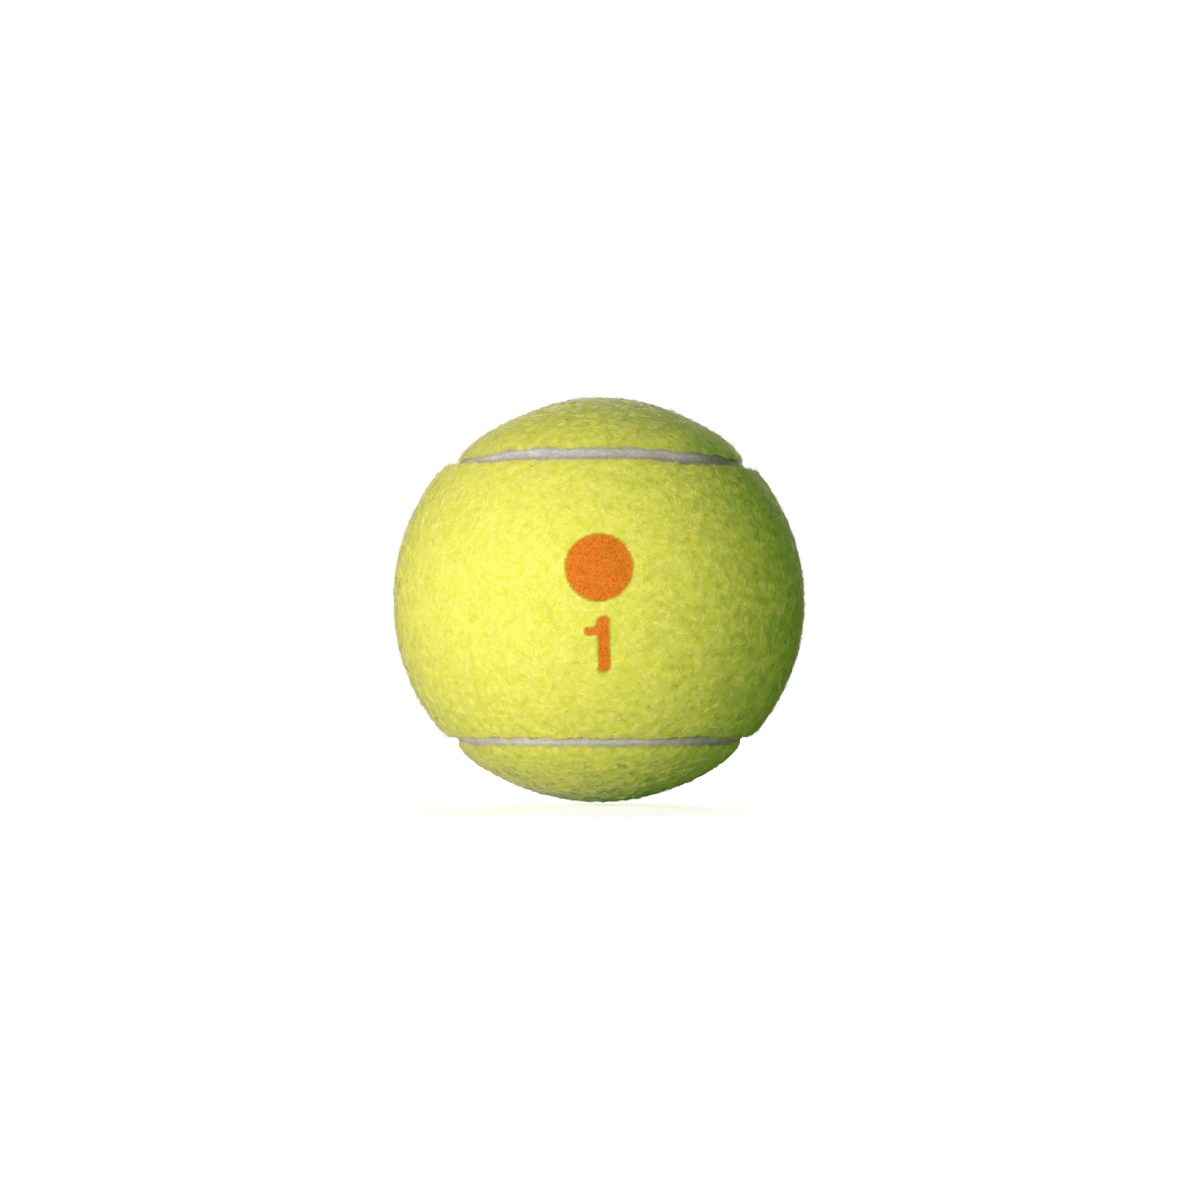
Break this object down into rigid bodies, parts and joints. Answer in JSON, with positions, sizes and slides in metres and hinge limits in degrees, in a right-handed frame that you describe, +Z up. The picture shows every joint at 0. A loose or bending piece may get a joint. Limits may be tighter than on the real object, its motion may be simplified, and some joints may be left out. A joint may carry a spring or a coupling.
{
  "type": "tennis ball",
  "caption": "Felt-covered hollow rubber tennis ball: interlocking dumbbell felt panels, recessed rubber seam and a core of cemented half shells, for play, rolling and throwing.",
  "frame": {"origin": "centre of the ball", "axes": "+Z up; -Y out through the middle of the front panel's waist, the side that is pictured; +X along that waist, out through the middle of one of its lobes; the back panel's waist faces +Y and its lobes are at +Z and -Z"},
  "size_m": [0.067, 0.067, 0.067],
  "materials": {
    "felt": "napped felt",
    "seam_rubber": "matte",
    "core_rubber": "matte",
    "rubber_cement": "satin"
  },
  "bodies": {
    "root": {"core_half_upper": "core_rubber", "core_half_lower": "core_rubber", "core_join_cement": "rubber_cement", "core_cement_coat": "rubber_cement", "panel_cement_front": "rubber_cement", "panel_cement_back": "rubber_cement", "felt_panel_front": "felt", "felt_panel_back": "felt", "seam_rubber": "seam_rubber"}
  },
  "joints": []
}
